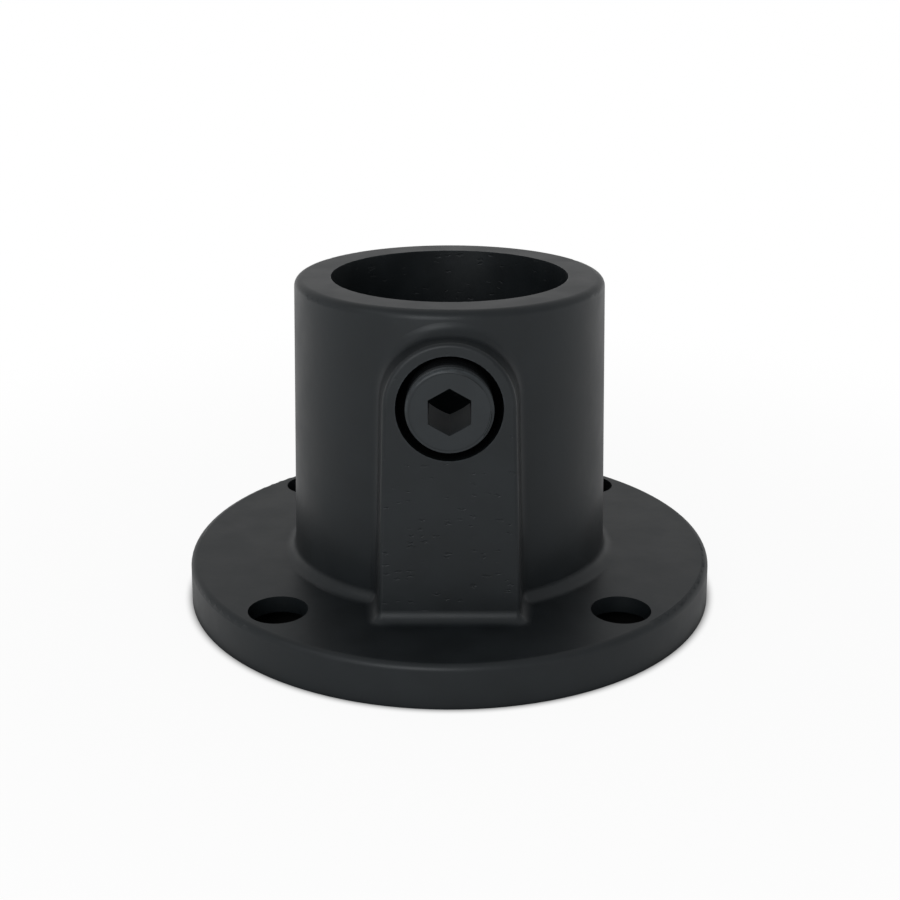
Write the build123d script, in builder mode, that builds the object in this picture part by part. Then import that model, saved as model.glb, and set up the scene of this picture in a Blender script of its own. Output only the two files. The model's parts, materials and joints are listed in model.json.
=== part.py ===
"""Tube clamp base flange: a cast floor flange that holds an upright tube with one set screw.

Frame: the origin is the centre of the underside, +Z runs up the tube, and the screw boss
faces -Y. All sizes are in millimetres.
"""

from build123d import *
import math
import os

# Tube and sleeve
tube_diameter = 48.3  # outside of the tube that stands in the sleeve
tube_clearance = 0.45  # all round between the tube and the bore
sleeve_wall = 7.5  # at the top of the sleeve, where it is thinnest
overall_height = 69.3
rim_fillet = 1.7  # outer edge of the sleeve's top

# Base disc
disc_diameter = 114.0  # at the underside
disc_thickness = 9.0  # at the skirt
disc_edge_fillet = 1.4
plate_thickness = 3.5  # of the disc, over its hollow underside
skirt_width = 3.5  # wall round the hollow
hole_diameter = 12.0  # fixing holes
hole_edge_distance = 8.75  # from the middle of a fixing hole out to the edge of the underside
hole_count = 4
hole_start_angle = 45.0  # from +X, so that the boss stands between two holes

# Screw boss
boss_drop = 4.62  # from the top of the sleeve down to the top of the boss face
boss_depth = 13.4  # metal along the screw axis, from the bore to the boss face
boss_border = 2.35  # width of the boss face outside the counterbore
boss_flare = 6.5  # in degrees: the boss widens by this from its face to the sleeve
boss_edge_fillet = 0.8  # outline of the boss face

# Casting
draft_angle = 1.8  # in degrees: every outer wall widens downwards by this
root_fillet = 2.5  # where sleeve, boss and disc run into each other

# Set screw, drawn to the outside of its thread
thread_diameter = 16.66
thread_pitch = 1.337
screw_length = 13.5
screw_setback = 1.7  # from the bore's wall out to the screw's point, with the tube free
screw_end_chamfer = 0.4
socket_across_flats = 8.0
cup_diameter = 10.4  # rim of the hollow point
cup_angle = 90.0  # in degrees
thread_clearance = 0.05  # all round between the screw and its hole
counterbore_clearance = 1.8  # all round between the screw and the counterbore
counterbore_depth = 5.0

# Worked out from the sizes above
bore_radius = tube_diameter / 2 + tube_clearance
sleeve_top_radius = bore_radius + sleeve_wall
disc_radius = disc_diameter / 2
hole_circle_radius = disc_radius - hole_edge_distance
hollow_depth = disc_thickness - plate_thickness
screw_radius = thread_diameter / 2
thread_depth = 0.64 * thread_pitch  # Whitworth form
tapped_radius = screw_radius + thread_clearance
counterbore_radius = screw_radius + counterbore_clearance
boss_radius = counterbore_radius + boss_border
screw_height = overall_height - boss_drop - boss_radius  # screw axis above the underside
boss_face = bore_radius + boss_depth  # from the tube's axis, at the height of the screw


def draft(height):
    """How far a drafted wall moves outwards over a height."""
    return height * math.tan(math.radians(draft_angle))


# Where the screw's axis leaves the boss face: local x is +X, y is +Z and z points outwards.
# The face itself leans back by the draft.
screw_plane = Plane((0, -boss_face, screw_height), x_dir=(1, 0, 0), z_dir=(0, -1, 0))
face_plane = screw_plane.rotated((-draft_angle, 0, 0))

# Blank of the screw boss, from its face in to the bore: an arch round the screw, on legs that
# widen downwards and run into the disc. The arch and the legs are tangent.
tangent_x = boss_radius * math.cos(math.radians(draft_angle))
tangent_y = boss_radius * math.sin(math.radians(draft_angle))
foot_y = disc_thickness / 2 - screw_height
foot_x = tangent_x + draft(tangent_y - foot_y)

with BuildPart() as boss:
    with BuildSketch(face_plane):
        with BuildLine():
            arch = ThreePointArc((-tangent_x, tangent_y), (0, boss_radius), (tangent_x, tangent_y))
            Polyline(arch @ 1, (foot_x, foot_y), (-foot_x, foot_y), arch @ 0)
        make_face()
    extrude(amount=-boss_depth, taper=-boss_flare)
    face_outline = boss.faces().sort_by(Axis.Y)[0].edges().sort_by(Axis.Z)
    fillet(face_outline[1:], radius=boss_edge_fillet)

# Casting: disc and sleeve are one turned profile, and the boss runs into both
with BuildPart() as flange_casting:
    with BuildSketch(Plane.XZ):
        with BuildLine():
            Polyline(
                (0, 0),
                (disc_radius, 0),
                (disc_radius - draft(disc_thickness), disc_thickness),
                (sleeve_top_radius + draft(overall_height - disc_thickness), disc_thickness),
                (sleeve_top_radius, overall_height),
                (0, overall_height),
                close=True,
            )
        make_face()
    revolve(axis=Axis.Z)
    add(boss.part)

    # Root fillets: round the foot of sleeve and boss, up the legs and over the arch
    disc_top = flange_casting.faces().filter_by(Plane.XY).sort_by(Axis.Z)[1]
    foot_edges = disc_top.inner_wires()[0].edges()
    sleeve_edges = flange_casting.faces().filter_by(GeomType.CONE).sort_by(SortBy.AREA)[-1].edges()
    turned_edges = sleeve_edges.filter_by(GeomType.CIRCLE) + sleeve_edges.filter_by(GeomType.LINE)
    fillet(foot_edges + (sleeve_edges - turned_edges), radius=root_fillet)

    # Rounded edges: the sleeve's rim and the disc
    fillet(flange_casting.edges().sort_by(Axis.Z)[-1], radius=rim_fillet)
    disc_top = flange_casting.faces().filter_by(Plane.XY).sort_by(Axis.Z)[1]
    fillet(disc_top.outer_wire().edges(), radius=disc_edge_fillet)

    # Hollow underside: a ring between the sleeve's foot and the skirt, which both stand on the floor
    with BuildSketch(Plane.XZ):
        with BuildLine():
            Polyline(
                (sleeve_top_radius, 0),
                (sleeve_top_radius + draft(hollow_depth), hollow_depth),
                (disc_radius - skirt_width - draft(hollow_depth), hollow_depth),
                (disc_radius - skirt_width, 0),
                close=True,
            )
        make_face()
    revolve(axis=Axis.Z, mode=Mode.SUBTRACT)

    # Bore for the tube, right through
    with Locations((0, 0, overall_height)):
        Hole(bore_radius, depth=overall_height)

    # Fixing holes
    with Locations((0, 0, disc_thickness)):
        with PolarLocations(hole_circle_radius, hole_count, start_angle=hole_start_angle):
            Hole(hole_diameter / 2, depth=disc_thickness)

    # Tapped hole for the set screw, with a counterbore that lets the screw's end stand clear
    with Locations(screw_plane):
        CounterBoreHole(tapped_radius, counterbore_radius, counterbore_depth, depth=boss_face)

# Set screw, built from its hollow point outwards
point_plane = screw_plane.offset(screw_setback - boss_depth)
cup_radius = cup_diameter / 2
cup_depth = cup_radius / math.tan(math.radians(cup_angle / 2))

with BuildPart(point_plane) as set_screw:
    Cylinder(screw_radius, screw_length, align=(Align.CENTER, Align.CENTER, Align.MIN))
    end_edges = set_screw.edges().filter_by(GeomType.CIRCLE).sort_by(Axis.Y)
    chamfer(end_edges[0], length=screw_end_chamfer)
    chamfer(end_edges[-1], length=thread_depth)
    with BuildSketch(point_plane):
        RegularPolygon(socket_across_flats / 2, side_count=6, major_radius=False, rotation=30)
    extrude(amount=screw_length, mode=Mode.SUBTRACT)
    Cone(
        cup_radius,
        0,
        cup_depth,
        align=(Align.CENTER, Align.CENTER, Align.MIN),
        mode=Mode.SUBTRACT,
    )

flange_casting.part.label = "flange_casting"
set_screw.part.label = "set_screw"

os.makedirs("parts", exist_ok=True)
export_step(flange_casting.part, "parts/flange_casting.step")
export_step(set_screw.part, "parts/set_screw.step")
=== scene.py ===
"""Tube clamp base flange: black coats, the threads of the set screw and its hole, and a studio.

Laid out as an add-on and run as a script. Everything is in metres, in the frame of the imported
part: +Z runs up the tube and the screw boss faces -Y.
"""

import json
import math

import bpy
from bpy.props import FloatProperty, FloatVectorProperty, IntProperty, PointerProperty
from bpy.types import Operator, Panel, PropertyGroup
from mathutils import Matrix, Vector


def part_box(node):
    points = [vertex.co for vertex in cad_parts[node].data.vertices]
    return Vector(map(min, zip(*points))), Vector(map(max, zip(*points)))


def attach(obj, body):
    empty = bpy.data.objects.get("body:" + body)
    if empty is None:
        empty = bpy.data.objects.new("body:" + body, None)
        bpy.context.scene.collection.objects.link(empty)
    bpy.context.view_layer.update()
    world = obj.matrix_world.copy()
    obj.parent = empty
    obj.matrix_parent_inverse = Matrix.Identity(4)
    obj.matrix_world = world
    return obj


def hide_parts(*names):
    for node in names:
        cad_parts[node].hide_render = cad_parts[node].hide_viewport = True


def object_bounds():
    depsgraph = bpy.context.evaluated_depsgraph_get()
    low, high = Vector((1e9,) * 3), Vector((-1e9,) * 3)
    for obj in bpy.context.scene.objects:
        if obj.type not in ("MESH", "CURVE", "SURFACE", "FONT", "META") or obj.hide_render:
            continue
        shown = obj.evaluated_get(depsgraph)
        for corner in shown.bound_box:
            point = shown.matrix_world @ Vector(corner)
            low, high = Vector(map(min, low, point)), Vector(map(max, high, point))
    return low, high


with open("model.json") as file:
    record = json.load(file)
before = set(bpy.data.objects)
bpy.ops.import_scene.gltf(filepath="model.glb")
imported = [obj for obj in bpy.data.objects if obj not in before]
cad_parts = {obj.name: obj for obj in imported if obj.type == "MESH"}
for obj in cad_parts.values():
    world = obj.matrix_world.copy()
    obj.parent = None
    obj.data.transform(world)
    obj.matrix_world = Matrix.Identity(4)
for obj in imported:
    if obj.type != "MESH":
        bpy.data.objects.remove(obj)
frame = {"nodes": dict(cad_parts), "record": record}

bl_info = {
    "name": "Tube clamp base flange",
    "version": (1, 0, 0),
    "blender": (4, 5, 0),
    "location": "3D View > Sidebar > Base flange",
    "description": "Coats, threads and studio for a tube clamp base flange",
    "category": "Object",
}

MM = 0.001

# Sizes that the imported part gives
CAD_LOW, CAD_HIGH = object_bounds()
SCREW_LOW, SCREW_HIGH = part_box("set_screw")
BORE = next(mount for mount in frame["record"]["mounts"] if mount["name"] == "tube_bore")
BORE_RADIUS = BORE["dims"]["r_mm"] * MM
SCREW_RADIUS = (SCREW_HIGH.x - SCREW_LOW.x) / 2
SCREW_LENGTH = SCREW_HIGH.y - SCREW_LOW.y
SCREW_HEIGHT = (SCREW_HIGH.z + SCREW_LOW.z) / 2

# Sizes of the casting that its box and its mounts do not give
BOSS_FACE = SCREW_LOW.y + 1.8 * MM  # where the screw's axis leaves the boss
BOSS_LEAN = math.radians(1.8)  # how far the boss face leans back
COUNTERBORE_FLOOR = BOSS_FACE + 5.0 * MM
COUNTERBORE_RADIUS = SCREW_RADIUS + 1.8 * MM
TAPPED_RADIUS = SCREW_RADIUS + 0.05 * MM
DISC_TOP = 9.0 * MM

# How the coat varies over a piece
TONE_DRIFT = 0.15  # share by which its colour is lighter or darker from place to place
MATT_DRIFT = 0.03  # roughness that it gains or loses with that
RUBBED_SHARE = 0.5  # share of the paler colour where an edge is rubbed most
RUBBED_SHADE = 4.0  # the paler colour, in times the coat's own
RUBBED_POLISH = 0.08  # roughness that a rubbed edge loses
PAINTED_SHADE_COLOUR = 0.1  # painted shade: colour in a recess, in times the coat's own
PAINTED_SHADE_MATT = 0.95  # roughness where the shade is painted
PAINTED_SHADE_GLOSS = 0.05  # how strongly the coat reflects where the shade is painted

# Finish of the threads' meshes
SHARP_FOLD = math.radians(40)  # a sharper fold between two faces stays an edge

# Studio
FRONT_LAMP_PLACE = (-0.2, -0.72, 0.3)
LEFT_LAMP_PLACE = (-0.57, -0.33, 0.49)
LAMP_WIDTH = 0.4
FLOOR_REACH = 6.0  # from the middle of the floor to its sides
PAINTED_SHADOW_SHADE = 0.03  # painted shadow: colour of the floor under the hollow of the part, in times the floor's own
SENSOR_WIDTH = 36.0  # in mm, as cameras have it
NEAREST_SEEN = 0.01  # from the camera


# Settings


class CoatSettings(PropertyGroup):
    """Colour and texture of the black coat."""

    casting_colour: FloatVectorProperty(
        name="Casting colour",
        description="Colour of the coat on the casting",
        subtype="COLOR",
        size=3,
        min=0.0,
        max=1.0,
        default=(0.0062, 0.0081, 0.0094),
    )
    screw_colour: FloatVectorProperty(
        name="Screw colour",
        description="Colour of the coat on the set screw",
        subtype="COLOR",
        size=3,
        min=0.0,
        max=1.0,
        default=(0.011, 0.0138, 0.0158),
    )
    casting_roughness: FloatProperty(
        name="Casting roughness",
        description="How matt the coat on the casting is",
        subtype="FACTOR",
        min=0.0,
        max=1.0,
        default=0.42,
    )
    screw_roughness: FloatProperty(
        name="Screw roughness",
        description="How matt the coat on the set screw is",
        subtype="FACTOR",
        min=0.0,
        max=1.0,
        default=0.4,
    )
    casting_gloss: FloatProperty(
        name="Casting gloss",
        description="How strongly the coat on the casting reflects",
        subtype="FACTOR",
        min=0.0,
        max=1.0,
        default=0.36,
    )
    screw_gloss: FloatProperty(
        name="Screw gloss",
        description="How strongly the coat on the set screw reflects",
        subtype="FACTOR",
        min=0.0,
        max=1.0,
        default=0.42,
    )
    gloss_tint: FloatVectorProperty(
        name="Gloss tint",
        description="Tint of the coat's mirrored light",
        subtype="COLOR",
        size=3,
        min=0.0,
        max=1.0,
        default=(0.93, 0.97, 1.0),
    )
    grain_size: FloatProperty(
        name="Grain size",
        description="Width of the fine grain in the coat",
        unit="LENGTH",
        min=0.05 * MM,
        default=0.32 * MM,
    )
    grain_height: FloatProperty(
        name="Grain height",
        description="Height of the fine grain in the coat",
        unit="LENGTH",
        min=0.0,
        default=0.004 * MM,
    )
    dent_length: FloatProperty(
        name="Dent length",
        description="Length of the larger level dents in the cast skin",
        unit="LENGTH",
        min=0.1 * MM,
        default=1.8 * MM,
    )
    dent_depth: FloatProperty(
        name="Dent depth",
        description="Depth of the level dents in the cast skin",
        unit="LENGTH",
        min=0.0,
        default=0.045 * MM,
    )
    rub_width: FloatProperty(
        name="Rub width",
        description="Width of the rubbed line along the turned edges",
        unit="LENGTH",
        min=0.01 * MM,
        default=0.35 * MM,
    )


class ThreadSettings(PropertyGroup):
    """Thread of the set screw and of its hole."""

    pitch: FloatProperty(
        name="Pitch",
        description="Distance from one turn of the thread to the next",
        unit="LENGTH",
        min=0.2 * MM,
        default=1.337 * MM,
    )
    depth: FloatProperty(
        name="Thread depth",
        description="From the crest of the thread to its root",
        unit="LENGTH",
        min=0.1 * MM,
        default=0.856 * MM,
    )
    clearance: FloatProperty(
        name="Clearance",
        description="Play between the screw's thread and the hole's, at crest and root",
        unit="LENGTH",
        min=0.0,
        default=0.05 * MM,
    )
    face_chamfer: FloatProperty(
        name="Face chamfer",
        description="Chamfer round the end of the screw that takes the key",
        unit="LENGTH",
        min=0.0,
        default=0.4 * MM,
    )
    socket_across_flats: FloatProperty(
        name="Socket across flats",
        description="Width of the hexagon socket",
        unit="LENGTH",
        min=1.0 * MM,
        default=8.0 * MM,
    )
    cup_diameter: FloatProperty(
        name="Cup diameter",
        description="Rim of the hollow point",
        unit="LENGTH",
        min=1.0 * MM,
        default=10.4 * MM,
    )
    segments: IntProperty(
        name="Segments",
        description="Faces round one turn of the thread",
        min=12,
        default=120,
    )
    rows_per_turn: IntProperty(
        name="Rows per turn",
        description="Faces across one turn of the screw's thread",
        min=4,
        default=10,
    )


class StudioSettings(PropertyGroup):
    """Camera, lamps and floor."""

    lens: FloatProperty(
        name="Lens",
        description="Focal length on a sensor 36 mm wide",
        unit="CAMERA",
        min=10.0,
        default=52.91,
    )
    camera_place: FloatVectorProperty(
        name="Camera place",
        description="Where the camera stands",
        subtype="TRANSLATION",
        unit="LENGTH",
        size=3,
        default=(0.1 * MM, -270.7 * MM, 128.7 * MM),
    )
    camera_tilt: FloatProperty(
        name="Camera tilt",
        description="Angle between straight down and the way the camera looks",
        subtype="ANGLE",
        unit="ROTATION",
        default=math.radians(70.05),
    )
    front_power: FloatProperty(
        name="Front lamp",
        description="Power of the soft lamp in front of the boss",
        unit="POWER",
        min=0.0,
        default=1.8,
    )
    left_power: FloatProperty(
        name="Left lamp",
        description="Power of the soft lamp on the left",
        unit="POWER",
        min=0.0,
        default=0.3,
    )
    sky_strength: FloatProperty(
        name="Sky strength",
        description="Light that the white surround throws on the part",
        min=0.0,
        default=0.57,
    )
    floor_colour: FloatVectorProperty(
        name="Floor colour",
        description="Colour of the plain floor",
        subtype="COLOR",
        size=3,
        min=0.0,
        max=1.0,
        default=(0.92, 0.92, 0.92),
    )
    floor_glow: FloatProperty(
        name="Floor glow",
        description="Share of white that is laid over the floor round the part",
        subtype="FACTOR",
        min=0.0,
        max=1.0,
        default=0.92,
    )


# Building node trees


def add_node(tree, kind, **settings):
    """A new node of a tree, with its own settings such as an operation or a mode."""
    node = tree.nodes.new(kind)
    for name, value in settings.items():
        setattr(node, name, value)
    return node


def feed(tree, target, source):
    """Puts another node's socket, a number, a vector or a colour on an input socket."""
    if isinstance(source, bpy.types.NodeSocket):
        tree.links.new(source, target)
    else:
        target.default_value = source


def math_node(tree, operation, *values):
    """The result of a maths node on sockets or numbers."""
    node = add_node(tree, "ShaderNodeMath", operation=operation)
    for socket, value in zip(node.inputs, values):
        feed(tree, socket, value)
    return node.outputs["Value"]


def vector_node(tree, operation, *values):
    """The result of a vector maths node on sockets or vectors."""
    node = add_node(tree, "ShaderNodeVectorMath", operation=operation)
    for socket, value in zip(node.inputs, values):
        feed(tree, socket, value)
    return node.outputs["Vector"]


def map_range(tree, value, low, high, to_low=0.0, to_high=1.0, curve="SMOOTHSTEP"):
    """A value taken from one range to another."""
    node = add_node(tree, "ShaderNodeMapRange", interpolation_type=curve)
    for socket, number in zip(node.inputs, (value, low, high, to_low, to_high)):
        feed(tree, socket, number)
    return node.outputs["Result"]


def noise(tree, vector, size, detail=2.0, roughness=0.5):
    """A noise texture whose lumps are about as wide as a size, which is a socket or a number."""
    node = add_node(tree, "ShaderNodeTexNoise")
    feed(tree, node.inputs["Vector"], vector)
    feed(tree, node.inputs["Scale"], math_node(tree, "DIVIDE", 1.0, size))
    feed(tree, node.inputs["Detail"], detail)
    feed(tree, node.inputs["Roughness"], roughness)
    return node


def axes_of(tree, vector):
    """The x, y and z of a vector."""
    node = add_node(tree, "ShaderNodeSeparateXYZ")
    feed(tree, node.inputs["Vector"], vector)
    return node.outputs


def vector_of(tree, x=0.0, y=0.0, z=0.0):
    """A vector of three sockets or numbers."""
    node = add_node(tree, "ShaderNodeCombineXYZ")
    for socket, value in zip(node.inputs, (x, y, z)):
        feed(tree, socket, value)
    return node.outputs["Vector"]


def length_of(tree, first, second):
    """Distance from an axis or a line, from its two parts at right angles to each other."""
    squares = [math_node(tree, "MULTIPLY", side, side) for side in (first, second)]
    return math_node(tree, "SQRT", math_node(tree, "ADD", *squares))


def group_tree(name, kind, inputs, outputs):
    """An empty node group with named sockets, and its input and output nodes."""
    tree = bpy.data.node_groups.new(name, kind)
    for socket, socket_type in inputs:
        tree.interface.new_socket(name=socket, in_out="INPUT", socket_type=socket_type)
    for socket, socket_type in outputs:
        tree.interface.new_socket(name=socket, in_out="OUTPUT", socket_type=socket_type)
    given = tree.nodes.new("NodeGroupInput")
    result = tree.nodes.new("NodeGroupOutput")
    return tree, given.outputs, result.inputs


# Effects that the coats share


def coat_grain_group():
    """Fine grain of a baked black coat: a height, and a tone that drifts from place to place."""
    tree, given, result = group_tree(
        "Coat grain",
        "ShaderNodeTree",
        [("Grain size", "NodeSocketFloat"), ("Grain height", "NodeSocketFloat")],
        [("Height", "NodeSocketFloat"), ("Tone", "NodeSocketFloat")],
    )
    place = add_node(tree, "ShaderNodeTexCoord").outputs["Object"]
    grain = noise(tree, place, given["Grain size"], detail=3.0, roughness=0.6)
    level = math_node(tree, "SUBTRACT", grain.outputs["Fac"], 0.5)
    feed(tree, result["Height"], math_node(tree, "MULTIPLY", level, given["Grain height"]))

    # Most of a noise lies between 0.3 and 0.7, which is drawn out here to the whole range
    cloud_size = 9 * MM
    clouds = noise(tree, place, cloud_size, detail=4.0)
    feed(tree, result["Tone"], map_range(tree, clouds.outputs["Fac"], 0.3, 0.7))
    return tree


def rubbed_ring_group():
    """Where the coat is rubbed along a round edge: a broken line, 1 on the edge and 0 off it."""
    tree, given, result = group_tree(
        "Rubbed ring",
        "ShaderNodeTree",
        [
            ("Along axis", "NodeSocketFloat"),
            ("From axis", "NodeSocketFloat"),
            ("Ring place", "NodeSocketFloat"),
            ("Ring radius", "NodeSocketFloat"),
            ("Width", "NodeSocketFloat"),
        ],
        [("Rub", "NodeSocketFloat")],
    )
    along = math_node(tree, "SUBTRACT", given["Along axis"], given["Ring place"])
    out = math_node(tree, "SUBTRACT", given["From axis"], given["Ring radius"])
    near = map_range(tree, length_of(tree, along, out), given["Width"], 0.0)

    # The line is broken into short lengths with soft ends
    break_length = 1.2 * MM
    place = add_node(tree, "ShaderNodeTexCoord").outputs["Object"]
    breaks = noise(tree, place, break_length, detail=3.0, roughness=0.65)
    unbroken = map_range(tree, breaks.outputs["Fac"], 0.42, 0.62)
    feed(tree, result["Rub"], math_node(tree, "MULTIPLY", near, unbroken))
    return tree


def cast_skin_group():
    """Skin of the casting: level dents on the boss face and in the bore, and a slight swell."""
    tree, given, result = group_tree(
        "Cast skin",
        "ShaderNodeTree",
        [("Dent length", "NodeSocketFloat"), ("Dent depth", "NodeSocketFloat")],
        [("Height", "NodeSocketFloat")],
    )
    place = add_node(tree, "ShaderNodeTexCoord").outputs["Object"]
    x, y, z = axes_of(tree, place)

    # The bore's wall, and the boss face above the fillet at its foot
    from_axis = length_of(tree, x, y)
    in_bore = map_range(tree, from_axis, BORE_RADIUS + 0.4 * MM, BORE_RADIUS + 0.1 * MM)
    before_face = map_range(tree, y, BOSS_FACE + 1.0 * MM, BOSS_FACE + 0.4 * MM)
    over_disc = map_range(tree, z, DISC_TOP + 1.5 * MM, DISC_TOP + 4.0 * MM)
    on_face = math_node(tree, "MULTIPLY", before_face, over_disc)
    where = math_node(tree, "MAXIMUM", in_bore, on_face)

    # The place is warped first, which makes the dents' outlines ragged
    most_warp = 1.1 * MM
    warp = noise(tree, place, math_node(tree, "MULTIPLY", given["Dent length"], 0.4))
    warped = vector_node(tree, "SUBTRACT", warp.outputs["Color"], (0.5, 0.5, 0.5))
    warped = vector_node(tree, "MULTIPLY", warped, (most_warp, most_warp, most_warp))
    warped = vector_node(tree, "ADD", place, warped)

    # Level dents of many sizes, one to a cell at most
    cells_in_length = 0.75  # cells to a dent's length
    length_to_height = 3.2  # of a cell
    bare_share = 0.25  # share of the cells that have no dent
    most_reach = 0.42  # from the middle of a dent to its edge, in cells
    rim_width = 0.16  # width of the slope inside that edge, in cells
    squeezed = vector_node(tree, "MULTIPLY", warped, (1.0, 1.0, length_to_height))
    cell_scale = math_node(tree, "DIVIDE", cells_in_length, given["Dent length"])
    cells = add_node(tree, "ShaderNodeTexVoronoi")
    feed(tree, cells.inputs["Vector"], squeezed)
    feed(tree, cells.inputs["Scale"], cell_scale)
    chance = add_node(tree, "ShaderNodeSeparateColor")
    feed(tree, chance.inputs["Color"], cells.outputs["Color"])
    reach = map_range(
        tree, chance.outputs["Red"], bare_share, 1.0, 0.0, most_reach, curve="LINEAR"
    )
    inwards = math_node(tree, "SUBTRACT", reach, cells.outputs["Distance"])
    dent = map_range(tree, inwards, 0.0, rim_width)

    # They keep to patches, which are closer together low down and in the bore
    patch_size = 6 * MM
    most_spread = 0.14
    spread_starts = 52 * MM
    most_spread_below = 14 * MM
    patches = noise(tree, place, patch_size, detail=1.0)
    low_down = map_range(
        tree, z, spread_starts, most_spread_below, 0.0, most_spread, curve="LINEAR"
    )
    down_bore = math_node(tree, "MULTIPLY", in_bore, most_spread)
    spread = math_node(tree, "MAXIMUM", low_down, down_bore)
    spread = math_node(tree, "ADD", patches.outputs["Fac"], spread)
    patch = map_range(tree, spread, 0.48, 0.6)
    dented = math_node(tree, "MULTIPLY", math_node(tree, "MULTIPLY", dent, patch), where)

    # The whole skin swells and falls a little, and the dents are sunk in that
    swell_size = 7 * MM
    swell_height = 0.05 * MM
    swell = noise(tree, place, swell_size)
    swelling = math_node(tree, "MULTIPLY", swell.outputs["Fac"], swell_height)
    sunk = math_node(tree, "MULTIPLY", dented, given["Dent depth"])
    feed(tree, result["Height"], math_node(tree, "SUBTRACT", swelling, sunk))
    return tree


EFFECTS = {
    "Coat grain": coat_grain_group,
    "Rubbed ring": rubbed_ring_group,
    "Cast skin": cast_skin_group,
}


def placed_effect(tree, name, **values):
    """A shared effect placed in a material, with sockets or numbers on its inputs."""
    group = bpy.data.node_groups.get(name) or EFFECTS[name]()
    node = add_node(tree, "ShaderNodeGroup", node_tree=group)
    for socket, value in values.items():
        feed(tree, node.inputs[socket.replace("_", " ")], value)
    return node.outputs


def new_material(name):
    """A material with its node tree and its shader."""
    material = bpy.data.materials.new(name)
    material.use_nodes = True
    return material, material.node_tree, material.node_tree.nodes["Principled BSDF"]


def colour_mix(tree, share, low, high):
    """A colour between two others, by a share from 0 to 1."""
    node = add_node(tree, "ShaderNodeMix", data_type="RGBA")
    feed(tree, node.inputs["Factor"], share)
    targets = [socket for socket in node.inputs if socket.type == "RGBA"]
    for target, colour in zip(targets, (low, high)):
        feed(tree, target, colour if isinstance(colour, bpy.types.NodeSocket) else (*colour, 1.0))
    return next(socket for socket in node.outputs if socket.type == "RGBA")


def shade(colour, share):
    """A colour made lighter or darker."""
    return tuple(part * share for part in colour)


def lay_coat(tree, shader, colour, roughness, gloss, tint, tone, rub, painted_shade, height):
    """The black coat on a shader: it drifts in tone, pales where rubbed, and is painted darker, matter
    and less glossy where shade falls in a recess.
    """
    darker = shade(colour, 1 - TONE_DRIFT)
    lighter = shade(colour, 1 + TONE_DRIFT)
    drifting = colour_mix(tree, tone, darker, lighter)
    pale = math_node(tree, "MULTIPLY", rub, RUBBED_SHARE)
    rubbed = colour_mix(tree, pale, drifting, shade(colour, RUBBED_SHADE))
    # Painted shade: the colour is darkened where shade falls in a recess
    shaded_colour = colour_mix(tree, painted_shade, rubbed, shade(colour, PAINTED_SHADE_COLOUR))
    feed(tree, shader.inputs["Base Color"], shaded_colour)
    matt = map_range(
        tree, tone, 0.0, 1.0, roughness - MATT_DRIFT, roughness + MATT_DRIFT, curve="LINEAR"
    )
    matt = math_node(tree, "SUBTRACT", matt, math_node(tree, "MULTIPLY", rub, RUBBED_POLISH))
    matt = math_node(tree, "MAXIMUM", matt, math_node(tree, "MULTIPLY", painted_shade, PAINTED_SHADE_MATT))
    feed(tree, shader.inputs["Roughness"], matt)
    mirrored = map_range(tree, painted_shade, 0.0, 1.0, gloss, PAINTED_SHADE_GLOSS, curve="LINEAR")
    feed(tree, shader.inputs["Specular IOR Level"], mirrored)
    shader.inputs["Specular Tint"].default_value = (*tint, 1.0)
    bump = add_node(tree, "ShaderNodeBump")
    bump.inputs["Strength"].default_value = 1.0
    bump.inputs["Distance"].default_value = 1.0
    feed(tree, bump.inputs["Height"], height)
    feed(tree, shader.inputs["Normal"], bump.outputs["Normal"])


def coated_casting(coat):
    """Satin black coat over the cast skin, rubbed round the bore's mouth and the counterbore's."""
    material, tree, shader = new_material("Coated casting")
    x, y, z = axes_of(tree, add_node(tree, "ShaderNodeTexCoord").outputs["Object"])
    above_screw = math_node(tree, "SUBTRACT", z, SCREW_HEIGHT)
    from_screw = length_of(tree, x, above_screw)
    grain = placed_effect(
        tree, "Coat grain", Grain_size=coat.grain_size, Grain_height=coat.grain_height
    )
    skin = placed_effect(
        tree, "Cast skin", Dent_length=coat.dent_length, Dent_depth=coat.dent_depth
    )
    bore_mouth = placed_effect(
        tree,
        "Rubbed ring",
        Along_axis=z,
        From_axis=length_of(tree, x, y),
        Ring_place=CAD_HIGH.z,
        Ring_radius=BORE_RADIUS,
        Width=coat.rub_width,
    )
    lean = math_node(tree, "MULTIPLY", above_screw, math.tan(BOSS_LEAN))
    counterbore_mouth = placed_effect(
        tree,
        "Rubbed ring",
        Along_axis=math_node(tree, "SUBTRACT", y, lean),
        From_axis=from_screw,
        Ring_place=BOSS_FACE,
        Ring_radius=COUNTERBORE_RADIUS,
        Width=coat.rub_width,
    )
    rub = math_node(tree, "MAXIMUM", bore_mouth["Rub"], counterbore_mouth["Rub"])
    height = math_node(tree, "ADD", grain["Height"], skin["Height"])

    # Painted shade in the counterbore and in the tapped hole, and none on the far wall of the bore
    edge = COUNTERBORE_RADIUS + 0.05 * MM
    in_hole = map_range(tree, from_screw, edge, edge - 0.1 * MM)
    behind_face = map_range(tree, y, BOSS_FACE + 0.2 * MM, BOSS_FACE + 1.5 * MM)
    near_wall = map_range(tree, y, 0.0, -5 * MM)
    deep = math_node(tree, "MULTIPLY", behind_face, near_wall)
    lay_coat(
        tree,
        shader,
        colour=coat.casting_colour,
        roughness=coat.casting_roughness,
        gloss=coat.casting_gloss,
        tint=coat.gloss_tint,
        tone=grain["Tone"],
        rub=rub,
        painted_shade=math_node(tree, "MULTIPLY", in_hole, deep),
        height=height,
    )
    return material


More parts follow.
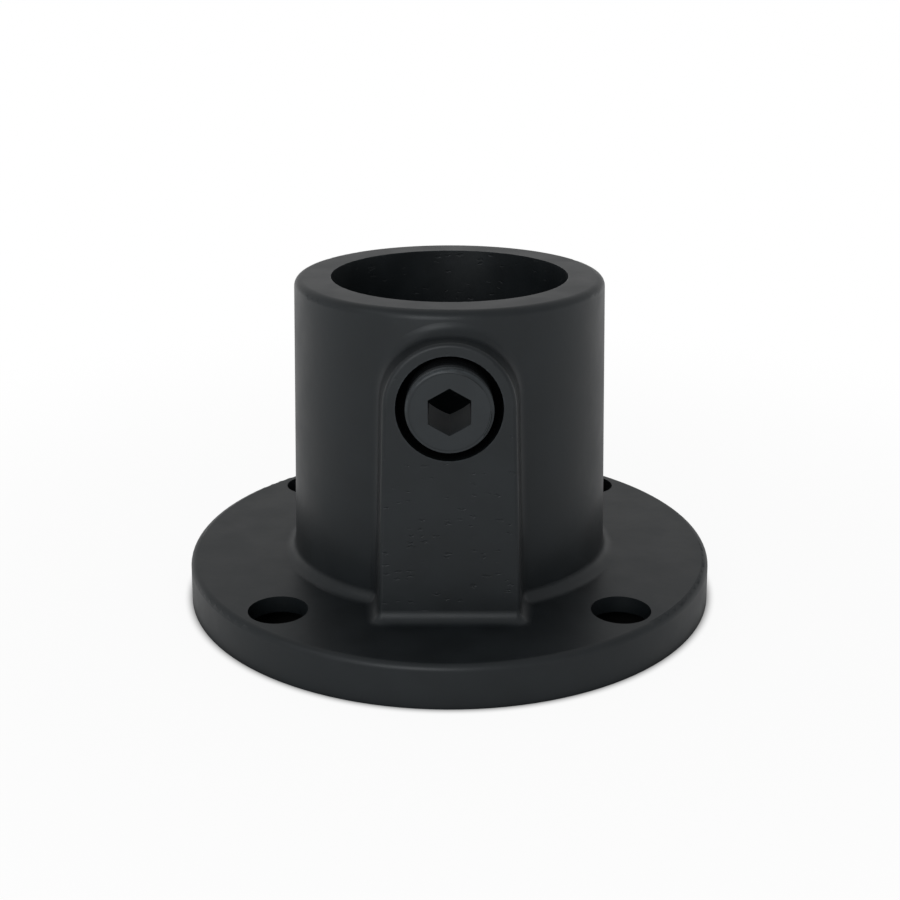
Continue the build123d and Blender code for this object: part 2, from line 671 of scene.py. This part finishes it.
def coated_steel(coat):
    """Satin black coat over cut steel, rubbed round the screw's face."""
    material, tree, shader = new_material("Coated steel")
    x, y, z = axes_of(tree, add_node(tree, "ShaderNodeTexCoord").outputs["Object"])
    from_screw = length_of(tree, x, math_node(tree, "SUBTRACT", z, SCREW_HEIGHT))

    # Cut steel has a finer grain than the casting, and its chamfer a broader rub than an edge
    finer = 0.7
    grain = placed_effect(
        tree,
        "Coat grain",
        Grain_size=coat.grain_size * finer,
        Grain_height=coat.grain_height * finer,
    )
    face_edge = placed_effect(
        tree,
        "Rubbed ring",
        Along_axis=y,
        From_axis=from_screw,
        Ring_place=SCREW_LOW.y,
        Ring_radius=SCREW_RADIUS,
        Width=coat.rub_width * 2,
    )

    # Painted shade on the thread behind the face, and none in the socket
    most_painted_shade = 0.8
    unshaded_to = SCREW_LOW.y + 1.2 * MM
    fully_shaded_from = SCREW_LOW.y + 4.0 * MM
    behind_face = map_range(tree, y, unshaded_to, fully_shaded_from, 0.0, most_painted_shade)
    on_thread = map_range(tree, from_screw, SCREW_RADIUS - 2.0 * MM, SCREW_RADIUS - 1.0 * MM)
    lay_coat(
        tree,
        shader,
        colour=coat.screw_colour,
        roughness=coat.screw_roughness,
        gloss=coat.screw_gloss,
        tint=coat.gloss_tint,
        tone=grain["Tone"],
        rub=face_edge["Rub"],
        painted_shade=math_node(tree, "MULTIPLY", behind_face, on_thread),
        height=grain["Height"],
    )
    return material


FINISHES = {
    "Coated casting": coated_casting,
    "Coated steel": coated_steel,
}


def finish_named(name, coat):
    """A finish by its name, made at its first use."""
    return bpy.data.materials.get(name) or FINISHES[name](coat)


# Threads


def rolled_thread(tree, value):
    """A closed right-hand threaded rod that stands on the origin along Z.

    It is a sheet rolled round the axis. Its rows follow the helix, so that the crests and roots
    stay sharp, and the rows past either end are held there.
    """
    # Rows for the length, a turn of them more, and one at each end that closes it at the axis
    row_height = math_node(tree, "DIVIDE", value["Pitch"], value["Rows per turn"])
    rows = math_node(tree, "CEIL", math_node(tree, "DIVIDE", value["Length"], row_height))
    rows = math_node(tree, "ADD", rows, value["Rows per turn"])
    last_row = math_node(tree, "ADD", rows, 2.0)
    sheet = add_node(tree, "GeometryNodeMeshGrid")
    feed(tree, sheet.inputs["Size X"], 1.0)
    feed(tree, sheet.inputs["Size Y"], 1.0)
    feed(tree, sheet.inputs["Vertices X"], math_node(tree, "ADD", value["Segments"], 1.0))
    feed(tree, sheet.inputs["Vertices Y"], math_node(tree, "ADD", last_row, 1.0))
    across, up, _ = axes_of(tree, add_node(tree, "GeometryNodeInputPosition").outputs["Position"])
    turn = math_node(tree, "ADD", across, 0.5)
    row = math_node(tree, "MULTIPLY", math_node(tree, "ADD", up, 0.5), last_row)
    row = math_node(tree, "SUBTRACT", math_node(tree, "ROUND", row), 1.0)

    # Height along the axis
    climb = math_node(tree, "SUBTRACT", turn, 1.0)
    climb = math_node(tree, "MULTIPLY", climb, value["Rows per turn"])
    free_height = math_node(tree, "MULTIPLY", math_node(tree, "ADD", row, climb), row_height)
    height = math_node(tree, "MINIMUM", math_node(tree, "MAXIMUM", free_height, 0.0), value["Length"])

    # Radius: rounded crests and roots, cut back by a cone at each end, and closed at the axis.
    # The flank runs between these two distances from the crest, in pitches
    flank_foot = 0.46
    flank_top = 0.04
    phase = math_node(tree, "FRACT", math_node(tree, "DIVIDE", row, value["Rows per turn"]))
    from_crest = math_node(tree, "ABSOLUTE", math_node(tree, "SUBTRACT", phase, 0.5))
    crest_radius = value["Crest radius"]
    root_radius = math_node(tree, "SUBTRACT", crest_radius, value["Thread depth"])
    cut_radius = map_range(tree, from_crest, flank_foot, flank_top, root_radius, crest_radius)
    point_cone = math_node(tree, "SUBTRACT", height, value["Point chamfer"])
    face_cone = math_node(tree, "SUBTRACT", value["Length"], height)
    face_cone = math_node(tree, "SUBTRACT", face_cone, value["Face chamfer"])
    cone = math_node(tree, "MINIMUM", point_cone, face_cone)
    cone_radius = math_node(tree, "ADD", cone, crest_radius)
    wall_radius = math_node(tree, "MINIMUM", cut_radius, cone_radius)
    not_first = math_node(tree, "GREATER_THAN", row, -0.5)
    not_last = math_node(tree, "LESS_THAN", row, math_node(tree, "SUBTRACT", last_row, 1.5))
    radius = math_node(tree, "MULTIPLY", wall_radius, math_node(tree, "MULTIPLY", not_first, not_last))
    angle = math_node(tree, "MULTIPLY", turn, math.tau)
    x = math_node(tree, "MULTIPLY", radius, math_node(tree, "COSINE", angle))
    y = math_node(tree, "MULTIPLY", radius, math_node(tree, "SINE", angle))
    rolled = add_node(tree, "GeometryNodeSetPosition")
    feed(tree, rolled.inputs["Geometry"], sheet.outputs["Mesh"])
    feed(tree, rolled.inputs["Position"], vector_of(tree, x, y, height))
    merged_within = 0.0005 * MM
    closed = add_node(tree, "GeometryNodeMergeByDistance")
    feed(tree, closed.inputs["Geometry"], rolled.outputs["Geometry"])
    feed(tree, closed.inputs["Distance"], merged_within)
    return closed.outputs["Geometry"]


def moved(tree, geometry, translation=(0.0, 0.0, 0.0), rotation=(0.0, 0.0, 0.0)):
    """Geometry moved and turned."""
    node = add_node(tree, "GeometryNodeTransform")
    feed(tree, node.inputs["Geometry"], geometry)
    feed(tree, node.inputs["Translation"], translation)
    feed(tree, node.inputs["Rotation"], rotation)
    return node.outputs["Geometry"]


def set_on_screw_axis(tree, geometry, value, result):
    """Lays work that stands along Z on the screw's axis, pointing out of the boss, and coats it."""
    turned = moved(tree, geometry, value["Start"], (math.radians(90), 0.0, 0.0))
    realized = add_node(tree, "GeometryNodeRealizeInstances")
    feed(tree, realized.inputs["Geometry"], turned)
    coated = add_node(tree, "GeometryNodeSetMaterial")
    feed(tree, coated.inputs["Geometry"], realized.outputs["Geometry"])
    feed(tree, coated.inputs["Material"], value["Material"])
    feed(tree, result["Geometry"], coated.outputs["Geometry"])


def set_screw_tree():
    """The set screw: a threaded rod with a hexagon socket right through and a hollow point."""
    tree, value, result = group_tree(
        "Set screw",
        "GeometryNodeTree",
        [
            ("Crest radius", "NodeSocketFloat"),
            ("Thread depth", "NodeSocketFloat"),
            ("Pitch", "NodeSocketFloat"),
            ("Length", "NodeSocketFloat"),
            ("Point chamfer", "NodeSocketFloat"),
            ("Face chamfer", "NodeSocketFloat"),
            ("Segments", "NodeSocketInt"),
            ("Rows per turn", "NodeSocketInt"),
            ("Socket radius", "NodeSocketFloat"),
            ("Cup radius", "NodeSocketFloat"),
            ("Start", "NodeSocketVector"),
            ("Material", "NodeSocketMaterial"),
        ],
        [("Geometry", "NodeSocketGeometry")],
    )

    # The socket's cutter is long enough to go right through, and two of its corners are in line
    # with the tube
    hexagon = add_node(tree, "GeometryNodeMeshCylinder", fill_type="NGON")
    feed(tree, hexagon.inputs["Vertices"], 6)
    feed(tree, hexagon.inputs["Radius"], value["Socket radius"])
    feed(tree, hexagon.inputs["Depth"], math_node(tree, "MULTIPLY", value["Length"], 3.0))
    socket = moved(tree, hexagon.outputs["Mesh"], rotation=(0.0, 0.0, math.radians(30)))

    # The cup is a cone of 90 degrees, drawn to twice its size so that it cuts clear of the point
    cup_faces = 72
    cone_size = math_node(tree, "MULTIPLY", value["Cup radius"], 2.0)
    cone = add_node(tree, "GeometryNodeMeshCone", fill_type="NGON")
    feed(tree, cone.inputs["Vertices"], cup_faces)
    feed(tree, cone.inputs["Radius Top"], 0.0)
    feed(tree, cone.inputs["Radius Bottom"], cone_size)
    feed(tree, cone.inputs["Depth"], cone_size)
    cone_foot = math_node(tree, "MULTIPLY", value["Cup radius"], -1.0)
    cup = moved(tree, cone.outputs["Mesh"], vector_of(tree, z=cone_foot))

    cut = add_node(tree, "GeometryNodeMeshBoolean", operation="DIFFERENCE", solver="EXACT")
    feed(tree, cut.inputs["Mesh 1"], rolled_thread(tree, value))
    feed(tree, cut.inputs["Mesh 2"], socket)
    feed(tree, cut.inputs["Mesh 2"], cup)
    set_on_screw_axis(tree, cut.outputs["Mesh"], value, result)
    return tree


def tapped_ridge_tree():
    """The ridge that a tap leaves in a hole: a coil of a flat-topped triangle, right-hand."""
    tree, value, result = group_tree(
        "Tapped ridge",
        "GeometryNodeTree",
        [
            ("Wall radius", "NodeSocketFloat"),
            ("Ridge height", "NodeSocketFloat"),
            ("Foot width", "NodeSocketFloat"),
            ("Top width", "NodeSocketFloat"),
            ("Pitch", "NodeSocketFloat"),
            ("Turns", "NodeSocketFloat"),
            ("Segments", "NodeSocketInt"),
            ("Start", "NodeSocketVector"),
            ("Material", "NodeSocketMaterial"),
        ],
        [("Geometry", "NodeSocketGeometry")],
    )
    # A coil is left-handed until it is reversed
    coil = add_node(tree, "GeometryNodeCurveSpiral")
    feed(tree, coil.inputs["Resolution"], value["Segments"])
    feed(tree, coil.inputs["Rotations"], value["Turns"])
    feed(tree, coil.inputs["Start Radius"], value["Wall radius"])
    feed(tree, coil.inputs["End Radius"], value["Wall radius"])
    feed(tree, coil.inputs["Height"], math_node(tree, "MULTIPLY", value["Pitch"], value["Turns"]))
    feed(tree, coil.inputs["Reverse"], True)
    upright = add_node(tree, "GeometryNodeSetCurveNormal", mode="Z_UP")
    feed(tree, upright.inputs["Curve"], coil.outputs["Curve"])

    # Section of the ridge, by how far each corner lies outwards from the hole's wall and along the
    # axis. The foot is on the wall, and the top stands in from it towards the axis
    section = add_node(tree, "GeometryNodeCurvePrimitiveQuadrilateral", mode="POINTS")
    half_foot = math_node(tree, "MULTIPLY", value["Foot width"], 0.5)
    half_top = math_node(tree, "MULTIPLY", value["Top width"], 0.5)
    top_place = math_node(tree, "MULTIPLY", value["Ridge height"], -1.0)
    corners = (
        (0.0, math_node(tree, "MULTIPLY", half_foot, -1.0)),
        (0.0, half_foot),
        (top_place, half_top),
        (top_place, math_node(tree, "MULTIPLY", half_top, -1.0)),
    )
    for number, (outwards, along) in enumerate(corners, start=1):
        feed(tree, section.inputs[f"Point {number}"], vector_of(tree, outwards, along))
    ridge = add_node(tree, "GeometryNodeCurveToMesh")
    feed(tree, ridge.inputs["Curve"], upright.outputs["Curve"])
    feed(tree, ridge.inputs["Profile Curve"], section.outputs["Curve"])
    feed(tree, ridge.inputs["Fill Caps"], True)
    set_on_screw_axis(tree, ridge.outputs["Mesh"], value, result)
    return tree


def made_by_nodes(name, tree, values):
    """A plain mesh object that a geometry node tree makes from named values."""
    seed = bpy.data.objects.new(name + "_seed", bpy.data.meshes.new(name + "_seed"))
    bpy.context.scene.collection.objects.link(seed)
    modifier = seed.modifiers.new(name, "NODES")
    modifier.node_group = tree
    identifiers = {
        item.name: item.identifier
        for item in tree.interface.items_tree
        if item.item_type == "SOCKET" and item.in_out == "INPUT"
    }
    for socket, value in values.items():
        modifier[identifiers[socket]] = value
    graph = bpy.context.evaluated_depsgraph_get()
    mesh = bpy.data.meshes.new_from_object(seed.evaluated_get(graph), depsgraph=graph)
    seed.modifiers.remove(modifier)
    bpy.data.objects.remove(seed)
    if not mesh.polygons:
        raise RuntimeError(f"{name}: the node tree made no faces")
    mesh.name = name
    mesh.shade_smooth()
    mesh.set_sharp_from_angle(angle=SHARP_FOLD)
    piece = bpy.data.objects.new(name, mesh)
    bpy.context.scene.collection.objects.link(piece)
    return piece


# Floor, surround, lamps and camera


def sight_rays(tree):
    """1 on rays from the camera, and 1 on those that are mirrored or passed on."""
    rays = add_node(tree, "ShaderNodeLightPath").outputs
    mirrored = math_node(tree, "MAXIMUM", rays["Is Glossy Ray"], rays["Is Transmission Ray"])
    return rays["Is Camera Ray"], mirrored


def floor_zones(tree, glow):
    """How much of the floor is painted dark as a shadow, and how much of it is white of itself.

    It is painted dark, a painted shadow, where the hollow of the part stands over it. Round the part
    it is lit by the lamps, which keeps the shadow, and a share of white is laid over that. Further off
    it is all white, so that it runs into the surround with no edge. In what the part mirrors, none of
    that white shows near it and all of it far off.
    """
    white_grows_from = 80 * MM
    all_white_from = 240 * MM
    mirrored_white_from = 150 * MM
    mirrored_all_white_from = 500 * MM
    x, y, _ = axes_of(tree, add_node(tree, "ShaderNodeTexCoord").outputs["Object"])
    from_axis = length_of(tree, x, y)
    clear_of_part = map_range(tree, from_axis, CAD_HIGH.x - 1 * MM, CAD_HIGH.x + 2 * MM)
    clear_of_bore = map_range(tree, from_axis, BORE_RADIUS + 1 * MM, BORE_RADIUS + 3 * MM)
    # Painted shadow where the hollow of the part stands over the floor
    painted_shadow = math_node(tree, "SUBTRACT", clear_of_bore, clear_of_part)
    seen, mirrored = sight_rays(tree)
    shown = map_range(tree, from_axis, white_grows_from, all_white_from, glow, 1.0)
    reflected = map_range(tree, from_axis, mirrored_white_from, mirrored_all_white_from)
    white = math_node(
        tree,
        "MAXIMUM",
        math_node(tree, "MULTIPLY", seen, shown),
        math_node(tree, "MULTIPLY", mirrored, reflected),
    )
    return painted_shadow, math_node(tree, "MULTIPLY", clear_of_part, white)


def lay_floor(scene, studio):
    """A plain pale floor that keeps the part's shadow, with a painted shadow under the hollow of the
    part.
    """
    mesh = bpy.data.meshes.new("floor")
    quarters = ((-1, -1), (1, -1), (1, 1), (-1, 1))
    corners = [(x * FLOOR_REACH, y * FLOOR_REACH, 0.0) for x, y in quarters]
    mesh.from_pydata(corners, [], [(0, 1, 2, 3)])
    floor = bpy.data.objects.new("floor", mesh)
    scene.collection.objects.link(floor)
    material, tree, shader = new_material("Floor")
    painted_shadow, white = floor_zones(tree, studio.floor_glow)
    painted_shadow_colour = shade(studio.floor_colour, PAINTED_SHADOW_SHADE)
    colour = colour_mix(tree, painted_shadow, studio.floor_colour, painted_shadow_colour)
    feed(tree, shader.inputs["Base Color"], colour)
    shader.inputs["Roughness"].default_value = 1.0
    shader.inputs["Specular IOR Level"].default_value = 0.0
    glow = add_node(tree, "ShaderNodeEmission")
    blend = add_node(tree, "ShaderNodeMixShader")
    unlit, lit = [socket for socket in blend.inputs if socket.type == "SHADER"]
    feed(tree, blend.inputs["Fac"], white)
    feed(tree, unlit, shader.outputs["BSDF"])
    feed(tree, lit, glow.outputs["Emission"])
    feed(tree, tree.nodes["Material Output"].inputs["Surface"], blend.outputs["Shader"])
    mesh.materials.append(material)


def white_surround(scene, studio):
    """A surround that throws a plain level of light.

    It is white where it shows, and to mirrored rays it is white low down.
    """
    scene.world = bpy.data.worlds.new("Surround")
    scene.world.use_nodes = True
    tree = scene.world.node_tree
    background = tree.nodes["Background"]
    background.inputs["Color"].default_value = (1.0, 1.0, 1.0, 1.0)
    seen, mirrored = sight_rays(tree)
    white_ends_at = 0.1  # upward part of a direction
    _, _, up = axes_of(tree, add_node(tree, "ShaderNodeTexCoord").outputs["Generated"])
    low = map_range(tree, up, white_ends_at, 0.0)
    white = math_node(tree, "MAXIMUM", seen, math_node(tree, "MULTIPLY", mirrored, low))
    strength = map_range(tree, white, 0.0, 1.0, studio.sky_strength, 1.0, curve="LINEAR")
    feed(tree, background.inputs["Strength"], strength)


def hang_lamp(scene, name, place, power):
    """A soft square lamp that faces the part."""
    lamp = bpy.data.lights.new(name, "AREA")
    lamp.size = LAMP_WIDTH
    lamp.energy = power
    hung = bpy.data.objects.new(name, lamp)
    scene.collection.objects.link(hung)
    hung.location = place
    towards = Vector((0.0, 0.0, CAD_HIGH.z / 2)) - Vector(place)
    hung.rotation_euler = towards.to_track_quat("-Z", "Y").to_euler()


def stand_camera(scene, studio):
    """The camera, in front of the boss and looking down on the part."""
    camera = bpy.data.cameras.new("Camera")
    camera.sensor_width = SENSOR_WIDTH
    camera.lens = studio.lens
    camera.clip_start = NEAREST_SEEN
    standing = bpy.data.objects.new("Camera", camera)
    scene.collection.objects.link(standing)
    standing.location = studio.camera_place
    standing.rotation_euler = (studio.camera_tilt, 0.0, 0.0)
    scene.camera = standing


# Steps


class FLANGE_OT_coat_casting(Operator):
    """Gives the casting its black coat"""

    bl_idname = "flange.coat_casting"
    bl_label = "Coat the casting"

    def execute(self, context):
        casting = frame["nodes"]["flange_casting"].data
        casting.materials.clear()
        casting.materials.append(finish_named("Coated casting", context.scene.flange_coat))
        return {"FINISHED"}


class FLANGE_OT_make_set_screw(Operator):
    """Makes the threaded set screw in place of its plain solid"""

    bl_idname = "flange.make_set_screw"
    bl_label = "Make the set screw"

    def execute(self, context):
        thread = context.scene.flange_thread
        screw = made_by_nodes(
            "threaded_set_screw",
            set_screw_tree(),
            {
                "Crest radius": SCREW_RADIUS,
                "Thread depth": thread.depth,
                "Pitch": thread.pitch,
                "Length": SCREW_LENGTH,
                "Point chamfer": thread.depth,
                "Face chamfer": thread.face_chamfer,
                "Segments": thread.segments,
                "Rows per turn": thread.rows_per_turn,
                "Socket radius": thread.socket_across_flats / math.sqrt(3),
                "Cup radius": thread.cup_diameter / 2,
                "Start": (0.0, SCREW_HIGH.y, SCREW_HEIGHT),
                "Material": finish_named("Coated steel", context.scene.flange_coat),
            },
        )
        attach(screw, "screw")
        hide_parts("set_screw")
        return {"FINISHED"}


class FLANGE_OT_tap_hole(Operator):
    """Cuts the thread of the set screw's hole, in step with the screw"""

    bl_idname = "flange.tap_hole"
    bl_label = "Tap the hole"

    def execute(self, context):
        thread = context.scene.flange_thread
        foot_width = 0.84 * thread.pitch
        top_width = 0.14 * thread.pitch

        # The ridge's foot is let into the wall a little. Its coil starts a whole turn past the
        # screw's point, and has as many half turns as fit before the counterbore's floor
        buried = 0.05 * MM
        start = SCREW_HIGH.y + thread.pitch
        half_turns = math.floor(2 * (start - COUNTERBORE_FLOOR - foot_width / 2) / thread.pitch)
        ridge = made_by_nodes(
            "tapped_ridge",
            tapped_ridge_tree(),
            {
                "Wall radius": TAPPED_RADIUS + buried,
                "Ridge height": thread.depth - 2 * thread.clearance + buried,
                "Foot width": foot_width,
                "Top width": top_width,
                "Pitch": thread.pitch,
                "Turns": half_turns / 2,
                "Segments": thread.segments // 2,
                "Start": (0.0, start, SCREW_HEIGHT),
                "Material": finish_named("Coated casting", context.scene.flange_coat),
            },
        )
        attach(ridge, "flange")
        return {"FINISHED"}


class FLANGE_OT_studio(Operator):
    """Sets the floor, the white surround, the lamps and the camera"""

    bl_idname = "flange.studio"
    bl_label = "Set the studio"

    def execute(self, context):
        scene = context.scene
        studio = scene.flange_studio
        scene.view_settings.view_transform = "Standard"
        lay_floor(scene, studio)
        white_surround(scene, studio)
        hang_lamp(scene, "Front lamp", FRONT_LAMP_PLACE, studio.front_power)
        hang_lamp(scene, "Left lamp", LEFT_LAMP_PLACE, studio.left_power)
        stand_camera(scene, studio)
        return {"FINISHED"}


PANEL_ROWS = (
    ("flange_coat", (FLANGE_OT_coat_casting,)),
    ("flange_thread", (FLANGE_OT_make_set_screw, FLANGE_OT_tap_hole)),
    ("flange_studio", (FLANGE_OT_studio,)),
)


class VIEW3D_PT_base_flange(Panel):
    """Lists the steps that dress the base flange, with their settings"""

    bl_label = "Base flange"
    bl_space_type = "VIEW_3D"
    bl_region_type = "UI"
    bl_category = "Base flange"

    def draw(self, context):
        for settings_name, operators in PANEL_ROWS:
            settings = getattr(context.scene, settings_name)
            box = self.layout.box()
            for name in settings.bl_rna.properties.keys():
                if name not in {"rna_type", "name"}:
                    box.prop(settings, name)
            for operator in operators:
                box.operator(operator.bl_idname)


CLASSES = (
    CoatSettings,
    ThreadSettings,
    StudioSettings,
    FLANGE_OT_coat_casting,
    FLANGE_OT_make_set_screw,
    FLANGE_OT_tap_hole,
    FLANGE_OT_studio,
    VIEW3D_PT_base_flange,
)


def register():
    for cls in CLASSES:
        bpy.utils.register_class(cls)
    bpy.types.Scene.flange_coat = PointerProperty(type=CoatSettings)
    bpy.types.Scene.flange_thread = PointerProperty(type=ThreadSettings)
    bpy.types.Scene.flange_studio = PointerProperty(type=StudioSettings)


def unregister():
    del bpy.types.Scene.flange_studio
    del bpy.types.Scene.flange_thread
    del bpy.types.Scene.flange_coat
    for cls in reversed(CLASSES):
        bpy.utils.unregister_class(cls)


def main():
    """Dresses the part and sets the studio."""
    register()
    bpy.ops.flange.coat_casting()
    bpy.ops.flange.make_set_screw()
    bpy.ops.flange.tap_hole()
    bpy.ops.flange.studio()


if __name__ == "__main__":
    main()
